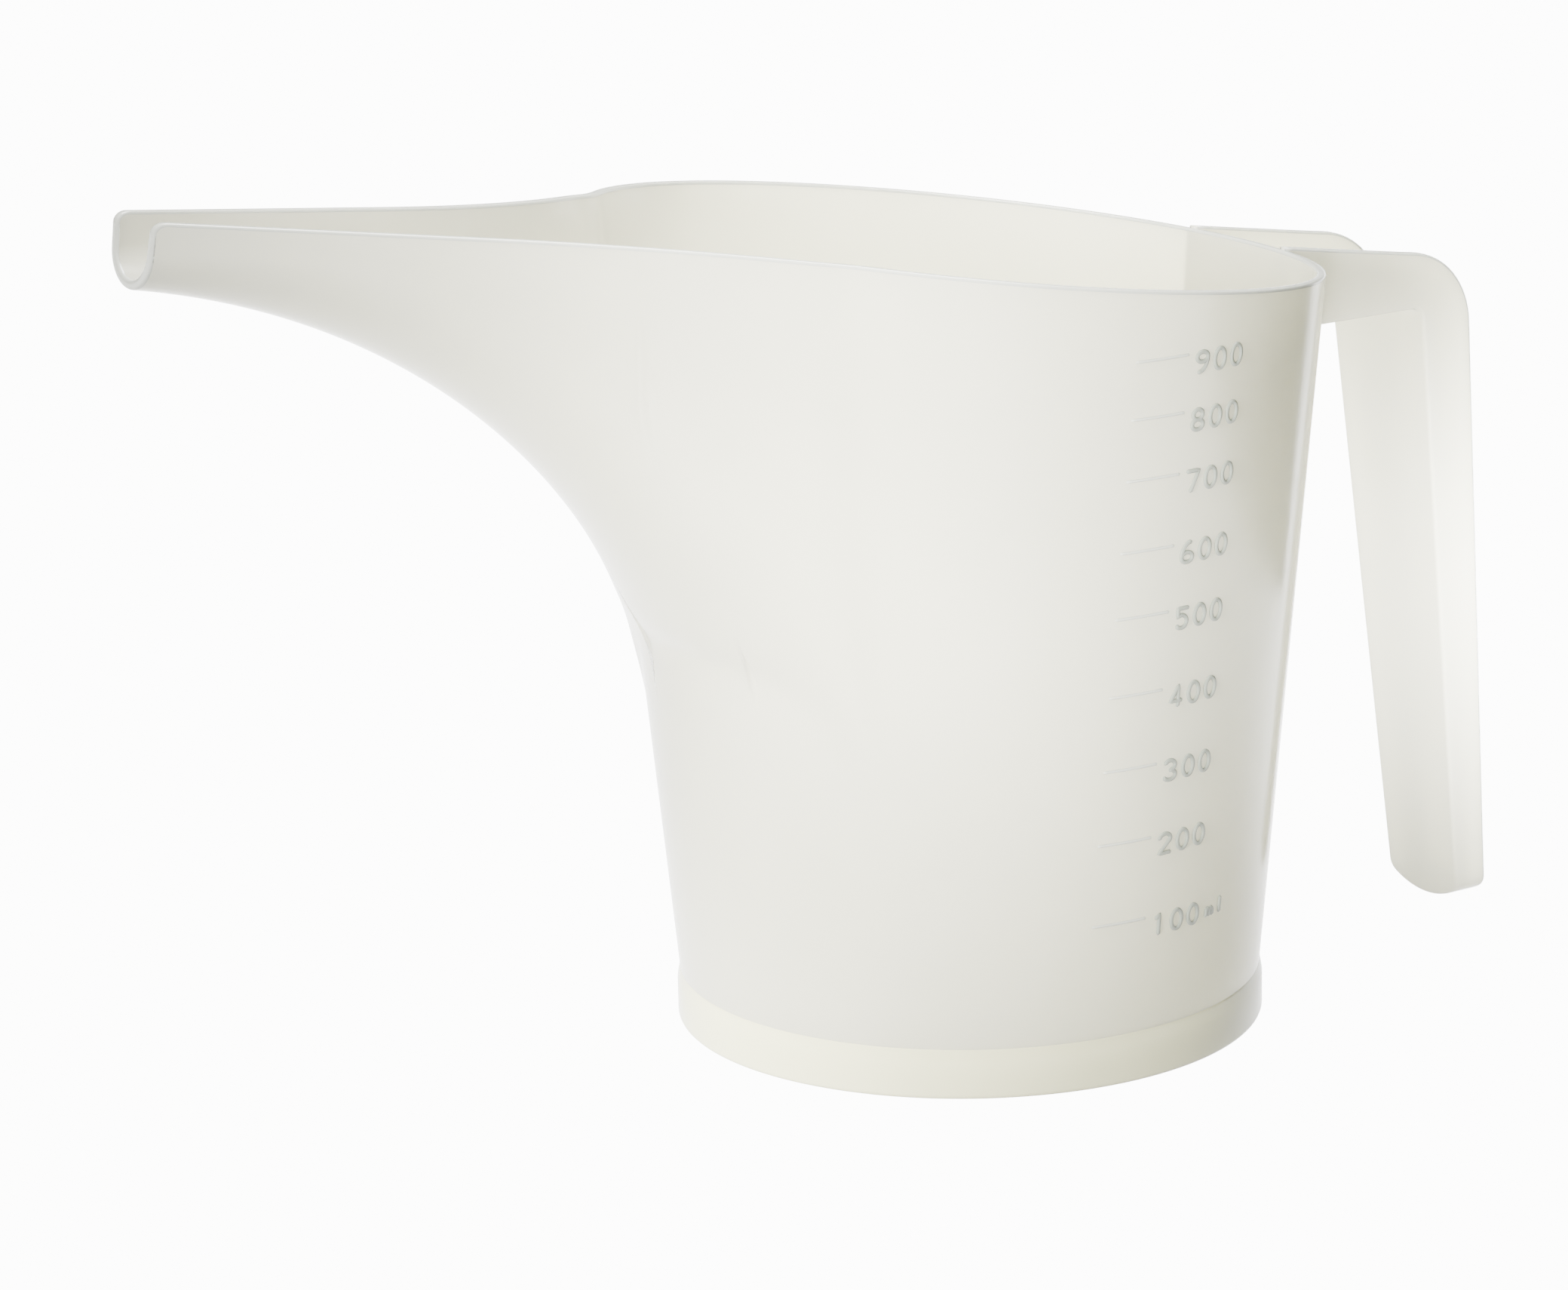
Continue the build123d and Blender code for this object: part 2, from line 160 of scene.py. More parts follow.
# ---- plastic: pale and deep colour, and the share of light that passes through ----
WALL_PLASTIC = ((0.87, 0.855, 0.71), (0.815, 0.805, 0.665), 0.6)
# painted shade: the rounded rims and edges take a darker copy of the plastic, for the dark line a wall
# shows seen edge-on
EDGE_PAINTED_SHADE_PLASTIC = ((0.50, 0.51, 0.45), (0.42, 0.43, 0.38), 0.3)
FOOT_PLASTIC = ((0.88, 0.865, 0.55), (0.82, 0.805, 0.50), 0.3)
# painted shade: the graduations' raised beads take darker copies of the plastic, for the shading of
# their strokes
NUMERAL_PAINTED_SHADE_PLASTIC = ((0.30, 0.32, 0.26), (0.24, 0.26, 0.21), 0.25)
LINE_PAINTED_SHADE_PLASTIC = ((0.68, 0.69, 0.60), (0.60, 0.62, 0.54), 0.4)
SPOUT_PAINTED_SHADE = 0.7         # painted shade: brightness of the plastic at the spout's end against the cup's, darker as if less light reached the spout
SPOUT_PAINTED_SHADE_SPAN = (-0.125, -0.025)  # where along X that painted shade fades out, in metres

# ---- studio, in metres and watts ----
TABLE_SEEN = 13.0        # glow of the white table as the camera sees it
TABLE_MIRRORED = 6.5     # and as the plastic's gloss mirrors it
TABLE_LIGHT = 0.3        # and as it lights the plastic
TABLE_EXTENT = 6.0       # half-width of the table
ROOM_LIGHT = 0.2
CARD = (0.27, -0.25, 0.035, 0.12)  # dark card: x, its near and far end along Y, and its height
OVER_POWER = 7.05        # soft box over the cup
BACK_POWER = 9.5         # soft box behind the handle
BACK_PLACE = (0.155, 0.205, 0.08)
BACK_SIZE = (0.16, 0.12)
SHADE_PLACE = (0.085, -0.065, 0.0)  # the table lights and mirrors less around here, by the grip
SHADE_SIZE = 0.075
SHADE_DEPTH = 0.44

# Small soft lamps: place, what they point at, width, power, and the angle of their beam in degrees.
CUP_LAMP = ((-0.55, -0.25, 0.20), (0.0, 0.0, 0.085), 0.15, 0.42, 17)
FRONT_LAMP = ((-0.35, -0.45, 0.08), (0.005, 0.0, 0.095), 0.10, 0.26, 19)
GRIP_LAMP = ((-0.15, -0.55, 0.12), (0.137, 0.0, 0.055), 0.06, 0.33, 9)
RIM_LAMP = ((-0.25, -0.15, 0.50), (-0.04, 0.02, 0.13), 0.15, 0.34, 30)
FOOT_LAMP = ((-0.50, 0.10, 0.06), (-0.03, 0.0, 0.0), 0.05, 0.055, 10)

# ---- view: place in millimetres, angles in degrees ----
VIEW_PLACE = (-501.35, -740.7, 306.3)
VIEW_YAW = 33.68         # from +Y towards +X
VIEW_PITCH = 15.22       # downwards
VIEW_ROLL = -1.22
VIEW_LENS = 134.80
VIEW_SHIFT = (-0.0166, 0.0043)


# ======================= the cup's and spout's surface =======================
def cone_radius(z, inset=0.0):
    return WALL_BASE_RADIUS + WALL_FLARE * (z - FOOT_HEIGHT) - inset


def rim_z(x):
    return RIM_HEIGHT - RIM_SLOPE * x


def edge_z(x):
    """Height where the wall's faces stop and the rim's round begins."""
    return rim_z(x) - EDGE_ROUND * math.hypot(1, RIM_SLOPE)


def keel_points(inset, steps=400):
    """x and z of the spout's lowest line, x rising, moved up by the inset."""
    x0 = KEEL_START[0] + inset
    z0 = KEEL_START[1]
    x3 = -SPOUT_REACH
    z3 = KEEL_TIP_HEIGHT + inset / math.cos(KEEL_TIP_ANGLE)
    x1 = x0 - KEEL_START_PULL * math.sin(KEEL_START_ANGLE)
    z1 = z0 + KEEL_START_PULL * math.cos(KEEL_START_ANGLE)
    x2 = x3 + KEEL_TIP_PULL * math.cos(KEEL_TIP_ANGLE)
    z2 = z3 - KEEL_TIP_PULL * math.sin(KEEL_TIP_ANGLE)
    t = np.linspace(0, 1, steps)
    a, b, c, d = (1 - t) ** 3, 3 * t * (1 - t) ** 2, 3 * t * t * (1 - t), t ** 3
    x = a * x0 + b * x1 + c * x2 + d * x3
    z = a * z0 + b * z1 + c * z2 + d * z3
    past = np.arange(1, PAST_TIP + 1)
    x = np.concatenate([[x0 + BEYOND * math.sin(KEEL_START_ANGLE)], x, x3 - past])
    z = np.concatenate([[z0 - BEYOND * math.cos(KEEL_START_ANGLE)], z,
                        z3 + past * math.tan(KEEL_TIP_ANGLE) + BEYOND_TIP_CURL * past ** 2])
    return x[::-1], z[::-1]


def side_half_width(x, z, inset):
    """Half-width of the straight spout side, its concave blend, or the cup, whichever is at x."""
    radius = cone_radius(z, inset)
    blend = BLEND_RADIUS + inset
    slant = math.hypot(1, SPOUT_TAPER)
    at_axis = (TIP_HALF_WIDTH + SPOUT_TAPER * SPOUT_REACH - inset * slant
               - SPOUT_DRAFT * (rim_z(DRAFT_FROM_X) - z))
    reach = at_axis + blend * slant
    a = slant ** 2
    b = 2 * SPOUT_TAPER * reach
    c = reach ** 2 - (radius + blend) ** 2
    centre_x = (-b - np.sqrt(b * b - 4 * a * c)) / (2 * a)
    cup = np.sqrt(np.maximum(radius ** 2 - x ** 2, 0))
    concave = (SPOUT_TAPER * centre_x + reach
               - np.sqrt(np.maximum(blend ** 2 - (x - centre_x) ** 2, 0)))
    straight = SPOUT_TAPER * x + at_axis
    width = np.where(x > centre_x + blend * SPOUT_TAPER / slant, concave, straight)
    return np.where(x > centre_x * radius / (radius + blend), cup, width)


def outline_radius(angle, z, inset, keel):
    """Distance from the cup's axis to the outline at an angle from -X, for arrays."""
    radius = cone_radius(z, inset)
    low = REACH_LEAST * radius * np.ones_like(angle)
    high = np.full_like(low, REACH_LIMIT)
    sine, cosine = np.sin(np.maximum(angle, 1e-4)), np.cos(angle)
    for _ in range(HALVINGS):
        middle = (low + high) / 2
        x = -middle * cosine
        width = side_half_width(x, z, inset)
        rise = np.clip((z - np.interp(x, *keel)) / np.maximum(BOTTOM_ROUND * width, 1.0), 0, 1)
        inside = middle * sine <= width * np.sqrt(1 - (1 - rise) ** 2)
        low = np.where(inside, middle, low)
        high = np.where(inside, high, middle)
    beyond = np.maximum(low - radius, 0)
    return radius + beyond * (1 - np.exp(-(beyond / BLEND_EASE) ** 2))


def resample(points, shares):
    """Points along a polyline at shares of its length."""
    steps = np.linalg.norm(np.diff(points, axis=0), axis=1)
    run = np.concatenate([[0], np.cumsum(steps)]) / steps.sum()
    return np.stack([np.interp(shares, run, points[:, k]) for k in range(3)], axis=1)


def column_angles(seam_angle):
    """Angles of one half's columns: 0 at the keel, seam_angle at the trough's rim, pi at the back."""
    front = seam_angle * (np.arange(FRONT_COLUMNS) / FRONT_COLUMNS) ** COLUMN_CROWDING
    share = np.arange(BACK_COLUMNS + 1) / BACK_COLUMNS
    rest = math.pi - seam_angle
    mix = min(1.0, COLUMN_CROWDING * seam_angle / FRONT_COLUMNS / (rest / BACK_COLUMNS))
    back = seam_angle + rest * (mix * share + (1 - mix) * share ** 2)
    return np.concatenate([front, back])


def wall_grid(inset, bottom_z, keel):
    """Half of the wall behind the seam: [column, row, xyz], from bottom_z up to the rim or seam."""
    seam_top = edge_z(SEAM_X)
    seam_width = float(side_half_width(np.array(SEAM_X), seam_top, inset))
    angles = column_angles(math.atan2(seam_width, -SEAM_X))
    coarse = np.linspace(bottom_z, COARSE_BELOW, COARSE_LEVELS)
    levels = np.concatenate([coarse[:-1], np.linspace(COARSE_BELOW, seam_top + 0.3, FINE_LEVELS)])
    grid_angle, grid_z = np.meshgrid(angles, levels, indexing="ij")
    r = outline_radius(grid_angle, grid_z, inset, keel)
    x, y = -r * np.cos(grid_angle), r * np.sin(grid_angle)
    y[0], y[-1] = 0, 0
    past = np.maximum(grid_z - edge_z(x), SEAM_X - x)
    past[FRONT_COLUMNS] = (grid_z - edge_z(x))[FRONT_COLUMNS]
    shares = np.linspace(0, 1, WALL_ROWS + 1)
    columns = []
    for j in range(len(angles)):
        end = int(np.argmax(past[j] > 0))
        share = -past[j, end - 1] / (past[j, end] - past[j, end - 1])
        points = np.stack([x[j, :end + 1], y[j, :end + 1], grid_z[j, :end + 1]], axis=1)
        points[-1] = points[-2] + share * (points[-1] - points[-2])
        columns.append(resample(points, shares))
    grid = np.stack(columns)
    grid[:FRONT_COLUMNS + 1, -1, 0] = SEAM_X
    grid[FRONT_COLUMNS, -1, 2] = seam_top
    return grid


def corner_drop(x):
    """How far the trough's top lies under the rim, from the rounded corner at the tip."""
    into = min(max((x + SPOUT_REACH - EDGE_ROUND) / TIP_CORNER, 0), 1)
    return (TIP_CORNER - EDGE_ROUND) * (1 - math.sqrt(1 - (1 - into) ** 2))


def trough_section(x, lean, inset, keel, steps=240):
    """Half of the trough's section on a plane that leans back from x at the tip's lowest point."""
    bottom = top = KEEL_TIP_HEIGHT
    for _ in range(12):
        bottom = float(np.interp(x + lean * (bottom - KEEL_TIP_HEIGHT), *keel))
        top = edge_z(x + lean * (top - KEEL_TIP_HEIGHT)) - corner_drop(x)
    z = bottom + (top - bottom) * (1 - np.cos(np.linspace(0, math.pi / 2, steps)))
    plane_x = x + lean * (z - KEEL_TIP_HEIGHT)
    width = side_half_width(plane_x, z, inset)
    rise = np.clip((z - np.interp(plane_x, *keel)) / (BOTTOM_ROUND * width), 0, 1)
    return np.stack([plane_x, width * np.sqrt(1 - (1 - rise) ** 2), z], axis=1)


def trough_grid(inset, keel, seam):
    """Half of the trough in front of the seam: [column, row, xyz]; row 0 is the seam itself."""
    share = np.linspace(0, 1, TROUGH_ROWS + 1)
    xs = SEAM_X + (EDGE_ROUND - SPOUT_REACH - SEAM_X) * np.sin(share * math.pi / 2)
    fine = trough_section(SEAM_X, 0, inset, keel)
    steps = np.linalg.norm(np.diff(fine, axis=0), axis=1)
    run = np.concatenate([[0], np.cumsum(steps)]) / steps.sum()
    start = np.interp(seam[:, 2], fine[:, 2], run)
    start[0], start[-1] = 0, 1
    even = np.linspace(0, 1, len(seam))
    rows = [seam]
    for k in range(1, TROUGH_ROWS + 1):
        mix = min(1.0, share[k] * SPREAD_OVER)
        mix = mix * mix * (3 - 2 * mix)
        shares = (1 - mix) * start + mix * even
        rows.append(resample(trough_section(xs[k], RIM_SLOPE * share[k] ** 2, inset, keel), shares))
    return np.stack(rows, axis=1)


# ======================= mesh helpers =======================
class Mesh:
    """Collects vertices in millimetres about the cup's axis, and faces with a material index."""

    def __init__(self):
        self.points = []
        self.faces = []
        self.kinds = []

    def grid(self, points, kind=0, closed=False):
        """A sheet of quads over points[column, row]; closed joins the last column to the first."""
        columns, rows = points.shape[:2]
        first = len(self.points)
        self.points.extend(points.reshape(-1, 3).tolist())
        for i in range(columns if closed else columns - 1):
            a = first + i * rows
            b = first + (i + 1) % columns * rows
            for k in range(rows - 1):
                self.faces.append((a + k, b + k, b + k + 1, a + k + 1))
                self.kinds.append(kind)

    def cap(self, loop, kind=0):
        first = len(self.points)
        self.points.extend(loop.tolist())
        self.faces.append(tuple(range(first, first + len(loop))))
        self.kinds.append(kind)

    def build(self, name, materials):
        mesh = bpy.data.meshes.new(name)
        points = (np.array(self.points) + np.array([CUP_X, 0, 0])) * MM
        mesh.from_pydata(points.tolist(), [], self.faces)
        for material in materials:
            mesh.materials.append(material)
        mesh.polygons.foreach_set("material_index", self.kinds)
        tidy_mesh(mesh)
        piece = bpy.data.objects.new(name, mesh)
        bpy.context.scene.collection.objects.link(piece)
        return piece


def tidy_mesh(mesh):
    """Joins vertices in the same place, turns every face outwards, and shades smoothly."""
    work = bmesh.new()
    work.from_mesh(mesh)
    bmesh.ops.remove_doubles(work, verts=work.verts, dist=0.002 * MM)
    bmesh.ops.dissolve_degenerate(work, edges=work.edges, dist=0.001 * MM)
    bmesh.ops.recalc_face_normals(work, faces=work.faces)
    for face in work.faces:
        face.smooth = True
    work.to_mesh(mesh)
    work.free()


def unit(vectors):
    return vectors / np.maximum(np.linalg.norm(vectors, axis=-1, keepdims=True), 1e-12)


def bend(a, corner, b, steps=ROUND_STEPS):
    """Rows of points that round a corner from a to b, both ends included."""
    shares = np.linspace(0, 1, steps + 1)
    return [(1 - t) ** 2 * a + 2 * t * (1 - t) * corner + t * t * b for t in shares]


def rounded(corner, steps):
    """The points of a profile that round its corner, given as (start, corner, end)."""
    return [tuple(p) for p in bend(*(np.array(p) for p in corner), steps)]


def both_halves(half):
    """A closed ring from one half (y >= 0), column 0 at the front and the last at the back."""
    return np.concatenate([half, half[-2:0:-1] * np.array([1, -1, 1])])


def turned(profile, segments):
    """A closed ring grid from a profile of (radius, height) turned about the cup's axis."""
    turn = np.linspace(0, 2 * math.pi, segments, endpoint=False)
    radius, height = np.array(profile).T
    return np.stack([np.outer(np.cos(turn), radius), np.outer(np.sin(turn), radius),
                     np.tile(height, (segments, 1))], axis=2)


# ======================= pieces: cup and spout =======================
def border_of(half, trough):
    """Half of the open border: up the tip's side from the keel, then along the rim to the back."""
    return np.concatenate([trough[:-1, -1], trough[-1, ::-1], half[FRONT_COLUMNS + 1:, -1]])


def rim_strip(outer, inner):
    """The rounded edge between the two faces of the wall, along their open borders."""
    across = unit(inner - outer)
    along = unit(np.roll(outer, -1, axis=0) - np.roll(outer, 1, axis=0))
    out = unit(np.cross(along, across))
    facing = np.sign(out @ np.array([-1.0, 0, 1.0]))[:, None]
    out = out * facing * EDGE_ROUND
    step = across * EDGE_ROUND
    rows = bend(outer, outer + out, outer + out + step) + bend(inner + out - step, inner + out, inner)
    return np.stack(rows, axis=1)


def pitcher_shell(materials):
    """Wall, throat, trough and floor as one skin, hidden below inside the foot band."""
    mesh = Mesh()
    borders = []
    rings = []
    bottom_z = FOOT_HEIGHT - SKIRT
    for inset, low in ((0.0, bottom_z), (WALL, FLOOR_TOP + FLOOR_FILLET)):
        keel = keel_points(inset)
        half = wall_grid(inset, low, keel)
        trough = trough_grid(inset, keel, half[:FRONT_COLUMNS + 1, -1])
        rings.append(both_halves(half))
        mesh.grid(rings[-1], 0, closed=True)
        mesh.grid(trough, 0)
        mesh.grid(trough * np.array([1, -1, 1]), 0)
        borders.append(both_halves(border_of(half, trough)))
    # the rim's round takes material 1, the darker copy of the plastic: painted shade
    mesh.grid(rim_strip(*borders), 1, closed=True)
    mesh.grid(floor_rows(rings[1][:, 0]), 0, closed=True)
    mesh.grid(underside_rows(rings[0][:, 0]), 0, closed=True)
    return mesh.build("pitcher_shell", materials)


def scaled_ring(ring, radius, height):
    """The ring's points moved to another radius and height."""
    flat = unit(ring * np.array([1, 1, 0])) * radius
    return flat + np.array([0, 0, height])


def floor_rows(ring):
    """From the wall's inner face, round the fillet, and over the floor to its centre."""
    corner_radius = cone_radius(FLOOR_TOP, WALL)
    start = ring
    corner = scaled_ring(ring, corner_radius, FLOOR_TOP)
    end = scaled_ring(ring, corner_radius - FLOOR_FILLET, FLOOR_TOP)
    rows = bend(start, corner, end, 8)
    for share in FLOOR_RINGS:
        radius = (corner_radius - FLOOR_FILLET) * share
        rows.append(scaled_ring(ring, radius, FLOOR_TOP))
    return np.stack(rows, axis=1)


def underside_rows(ring):
    """From the wall's lower edge, hidden in the foot band, to the underside's centre and gate mark."""
    bottom_z = ring[0, 2]
    hidden = FOOT_RADIUS - FOOT_WIDTH + SEAT
    rows = [ring, scaled_ring(ring, hidden, bottom_z), scaled_ring(ring, hidden, FOOT_HEIGHT)]
    for share in UNDERSIDE_RINGS:
        rows.append(scaled_ring(ring, hidden * share, FOOT_HEIGHT))
    for radius, rise in GATE:
        rows.append(scaled_ring(ring, radius, FOOT_HEIGHT + rise))
    return np.stack(rows, axis=1)


def foot_band(materials):
    """The thickened band that the cup stands on, with a soft step up to the wall."""
    outer = FOOT_RADIUS
    inner = FOOT_RADIUS - FOOT_WIDTH
    wall = cone_radius(FOOT_HEIGHT)
    top = FOOT_HEIGHT
    seat = top + SEAT
    profile = [(inner + 0.5, seat), (wall - 0.5, seat), (wall - 0.3, top + 0.5), (wall, top + 0.1)]
    profile += [(wall + 0.1, top - 0.3), (outer - 0.1, top - 1.6), (outer, top - 2.2), (outer, 3.5)]
    profile += rounded(((outer, FOOT_ROUND), (outer, 0.0), (outer - FOOT_ROUND, 0.0)), 5)
    profile += rounded(((inner + FOOT_ROUND, 0.0), (inner, 0.0), (inner, FOOT_ROUND)), 5)
    profile += [(inner, 4.0), (inner, top - 1.0)]
    profile += rounded(((inner, top - FOOT_ROUND), (inner, top), (inner + 0.5, seat)), 4)
    mesh = Mesh()
    mesh.grid(turned(profile, 288), 0, closed=True)
    return mesh.build("foot_band", materials)


# ======================= piece: handle =======================
def grip_back_x(z):
    """The outermost face of the grip: the free edges of its flanges."""
    return HANDLE_REACH - GRIP_TRIM - GRIP_LEAN * (z - HANDLE_BOTTOM)


def rounded_line(a, corner, b, radius, arc_steps):
    """Points where the round starts, along the round, and where it ends, for the corner a-corner-b."""
    a, corner, b = (np.array(p, float) for p in (a, corner, b))
    to_a, to_b = unit(a - corner), unit(b - corner)
    half = math.acos(float(np.clip(to_a @ to_b, -1, 1))) / 2
    reach = radius / math.tan(half)
    centre = corner + unit(to_a + to_b) * radius / math.sin(half)
    start, end = corner + to_a * reach - centre, corner + to_b * reach - centre
    angle = math.acos(float(np.clip(unit(start) @ unit(end), -1, 1)))
    shares = np.linspace(0, 1, arc_steps + 1)[:, None]
    arc = np.sin((1 - shares) * angle) * start + np.sin(shares * angle) * end
    return centre + arc / math.sin(angle)


def handle_sides(inset):
    """Paired points (x, z) down the handle: on its web, moved in by an inset, and on the free edge."""
    corner_x = grip_back_x(rim_z(0)) / (1 - GRIP_LEAN * RIM_SLOPE)
    edge_root = (ARM_ROOT_X, rim_z(ARM_ROOT_X))
    edge_corner = (corner_x, rim_z(corner_x))
    end_z = end_start_z()
    edge_foot = (grip_back_x(end_z), end_z)
    lean = web_lean()
    across = inset * math.hypot(1, lean)
    web_corner = (web_x(INNER_CORNER_Z) + across + lean * inset, INNER_CORNER_Z + inset)
    web_foot = (web_x(end_z) + across, end_z)
    web_root = (ARM_ROOT_X, web_corner[1])
    edge_arc = rounded_line(edge_root, edge_corner, edge_foot, HANDLE_CORNER, CORNER_STEPS)
    web_arc = rounded_line(web_root, web_corner, web_foot, INNER_CORNER + inset, CORNER_STEPS)
    arm_shares = np.linspace(0, 1, ARM_ROWS + 1)[:-1, None]
    grip_shares = np.linspace(0, 1, GRIP_ROWS + 1)[1:, None]

    def path(root, arc, foot):
        root, foot = np.array(root), np.array(foot)
        arm = root + (arc[0] - root) * arm_shares
        grip = arc[-1] + (foot - arc[-1]) * grip_shares
        return np.concatenate([arm, arc, grip])

    return path(web_root, web_arc, web_foot), path(edge_root, edge_arc, edge_foot)


def web_lean():
    """Outward run of the web's face per millimetre upwards."""
    return (web_x(INNER_CORNER_Z) - web_x(0)) / INNER_CORNER_Z


def web_x(z):
    """The face of the grip's web that looks at the cup."""
    share = z / INNER_CORNER_Z
    top = grip_back_x(INNER_CORNER_Z) - GRIP_DEPTH_TOP
    foot = grip_back_x(0) - GRIP_DEPTH_FOOT
    return foot + (top - foot) * share


def handle_half_width(z):
    low, high = end_corner_z(), rim_z(0) + HANDLE_TOP_MARGIN
    share = (z - low) / (high - low)
    return (HANDLE_FOOT_WIDTH + (HANDLE_TOP_WIDTH - HANDLE_FOOT_WIDTH) * share) / 2


def end_corner_z():
    """Height where the grip's side would meet its curved bottom edge."""
    half = HANDLE_FOOT_WIDTH / 2
    return HANDLE_BOTTOM + GRIP_END_RADIUS - math.sqrt(GRIP_END_RADIUS ** 2 - half ** 2)


def end_outline():
    """(y, z) of half the grip's end, from where the side stops, round the corner, to the middle."""
    half = HANDLE_FOOT_WIDTH / 2
    corner = (half, end_corner_z())
    turn = math.asin(half / GRIP_END_RADIUS)
    arc = [(GRIP_END_RADIUS * math.sin(t), HANDLE_BOTTOM + GRIP_END_RADIUS * (1 - math.cos(t)))
           for t in np.linspace(turn, 0, END_STEPS)]
    chord = arc[END_STEPS // 5]
    side = (handle_half_width(SIDE_Z), SIDE_Z)
    round_points = rounded_line(side, corner, chord, GRIP_END_CORNER, END_CORNER_STEPS)
    rest = [p for p in arc if p[0] < round_points[-1][0] - END_GAP]
    rest = rest[::3] + ([] if (len(rest) - 1) % 3 == 0 else [rest[-1]])
    return np.concatenate([round_points, np.array(rest)])


def end_start_z():
    return float(end_outline()[0][1])


def handle_frame(web_inset):
    """Down the side and round the end: points on the web and the free edge, and the way inwards."""
    web_path, edge_path = handle_sides(web_inset)
    outline = end_outline()
    end_y, end_z = outline[1:].T
    across = web_inset * math.hypot(1, web_lean())

    def with_width(path):
        return np.stack([path[:, 0], handle_half_width(path[:, 1]), path[:, 1]], axis=1)

    web_end = np.stack([web_x(end_z) + across, end_y, end_z], axis=1)
    edge_end = np.stack([grip_back_x(end_z), end_y, end_z], axis=1)
    web = np.concatenate([with_width(web_path), web_end])
    edge = np.concatenate([with_width(edge_path), edge_end])
    count = len(web_path)
    tangent = np.abs(np.gradient(outline, axis=0))
    normal = unit(np.stack([-tangent[:, 1], tangent[:, 0]], axis=1))
    inward = np.zeros_like(web)
    inward[:count] = (0, -1, 0)
    inward[count:, 1:] = normal[1:]
    inward[-1] = (0, 0, 1)
    return web, edge, inward


def seat_root(points):
    """Moves the arm's points so that its root lies just inside the cup's curved wall."""
    moved = points.copy()
    arm = points[:ARM_ROWS]
    radius = cone_radius(arm[:, 2]) - ROOT_DEPTH
    wall_x = np.sqrt(np.maximum(radius ** 2 - arm[:, 1] ** 2, 0))
    moved[:ARM_ROWS, 0] += np.linspace(1, 0, ARM_ROWS) * (wall_x - ARM_ROOT_X)
    return moved


def between(start, end, steps=5):
    """Rows of points straight from start to end, both included."""
    return [start + (end - start) * share for share in np.linspace(0, 1, steps)]


def handle_channel(materials):
    """A web towards the cup with a flange all round it, open upwards and outwards."""
    mesh = Mesh()
    web, edge, inward = handle_frame(0.0)
    web_back, _, _ = handle_frame(HANDLE_WALL)
    depth = np.linalg.norm(edge - web, axis=1)

    def flange_at(distance, inset):
        """Points on the flange at a distance from the web's face, moved inwards by an inset."""
        share = (distance / depth)[:, None]
        return seat_root(web + share * (edge - web) + inset * inward)

    zero = np.zeros(len(web))
    web_face = flange_at(zero, HANDLE_EDGE)
    web_corner = flange_at(zero, 0)
    side_start = flange_at(zero + HANDLE_EDGE, 0)
    side_end = flange_at(depth - FREE_EDGE, 0)
    edge_start = flange_at(depth, FREE_EDGE)
    edge_end = flange_at(depth, HANDLE_WALL - FREE_EDGE)
    inside_start = flange_at(depth - FREE_EDGE, HANDLE_WALL)
    inside_corner = seat_root(web_back + HANDLE_WALL * inward)
    inside_end = inside_corner + unit(edge - web) * HANDLE_EDGE
    web_inside = seat_root(web_back + (HANDLE_WALL + HANDLE_EDGE) * inward)

    # kind 1 puts the darker copy of the plastic on the flanges' free-edge rounds: painted shade
    strips = [
        (bend(web_face, web_corner, side_start), 0),
        (between(side_start, side_end), 0),
        (bend(side_end, flange_at(depth, 0), edge_start), 1),
        (bend(edge_end, flange_at(depth, HANDLE_WALL), inside_start), 1),
        (between(inside_start, inside_end), 0),
        (bend(inside_end, inside_corner, web_inside), 0),
    ]
    mirror = np.array([1, -1, 1])
    for rows, kind in strips + [([edge_start, edge_end], 1)]:
        sheet = np.stack(rows, axis=1)
        mesh.grid(sheet, kind)
        mesh.grid(sheet * mirror, kind)
    for face in (web_face, web_inside):
        rows = [face * np.array([1, share, 1]) for share in np.linspace(1, -1, 13)]
        mesh.grid(np.stack(rows, axis=1), 0)
    section = np.array([row[0] for rows, _ in strips for row in rows])
    mesh.cap(np.concatenate([section, (section * mirror)[::-1]]), 0)
    return mesh.build("handle_channel", materials)


# ======================= pieces: graduations =======================
def arc_points(centre, half_width, half_height, start, end, steps=16):
    """Points along an upright ellipse from one angle to another, in degrees."""
    turn = np.radians(np.linspace(start, end, steps))
    ellipse = np.stack([half_width * np.cos(turn), half_height * np.sin(turn)], axis=1)
    return np.array(centre) + ellipse


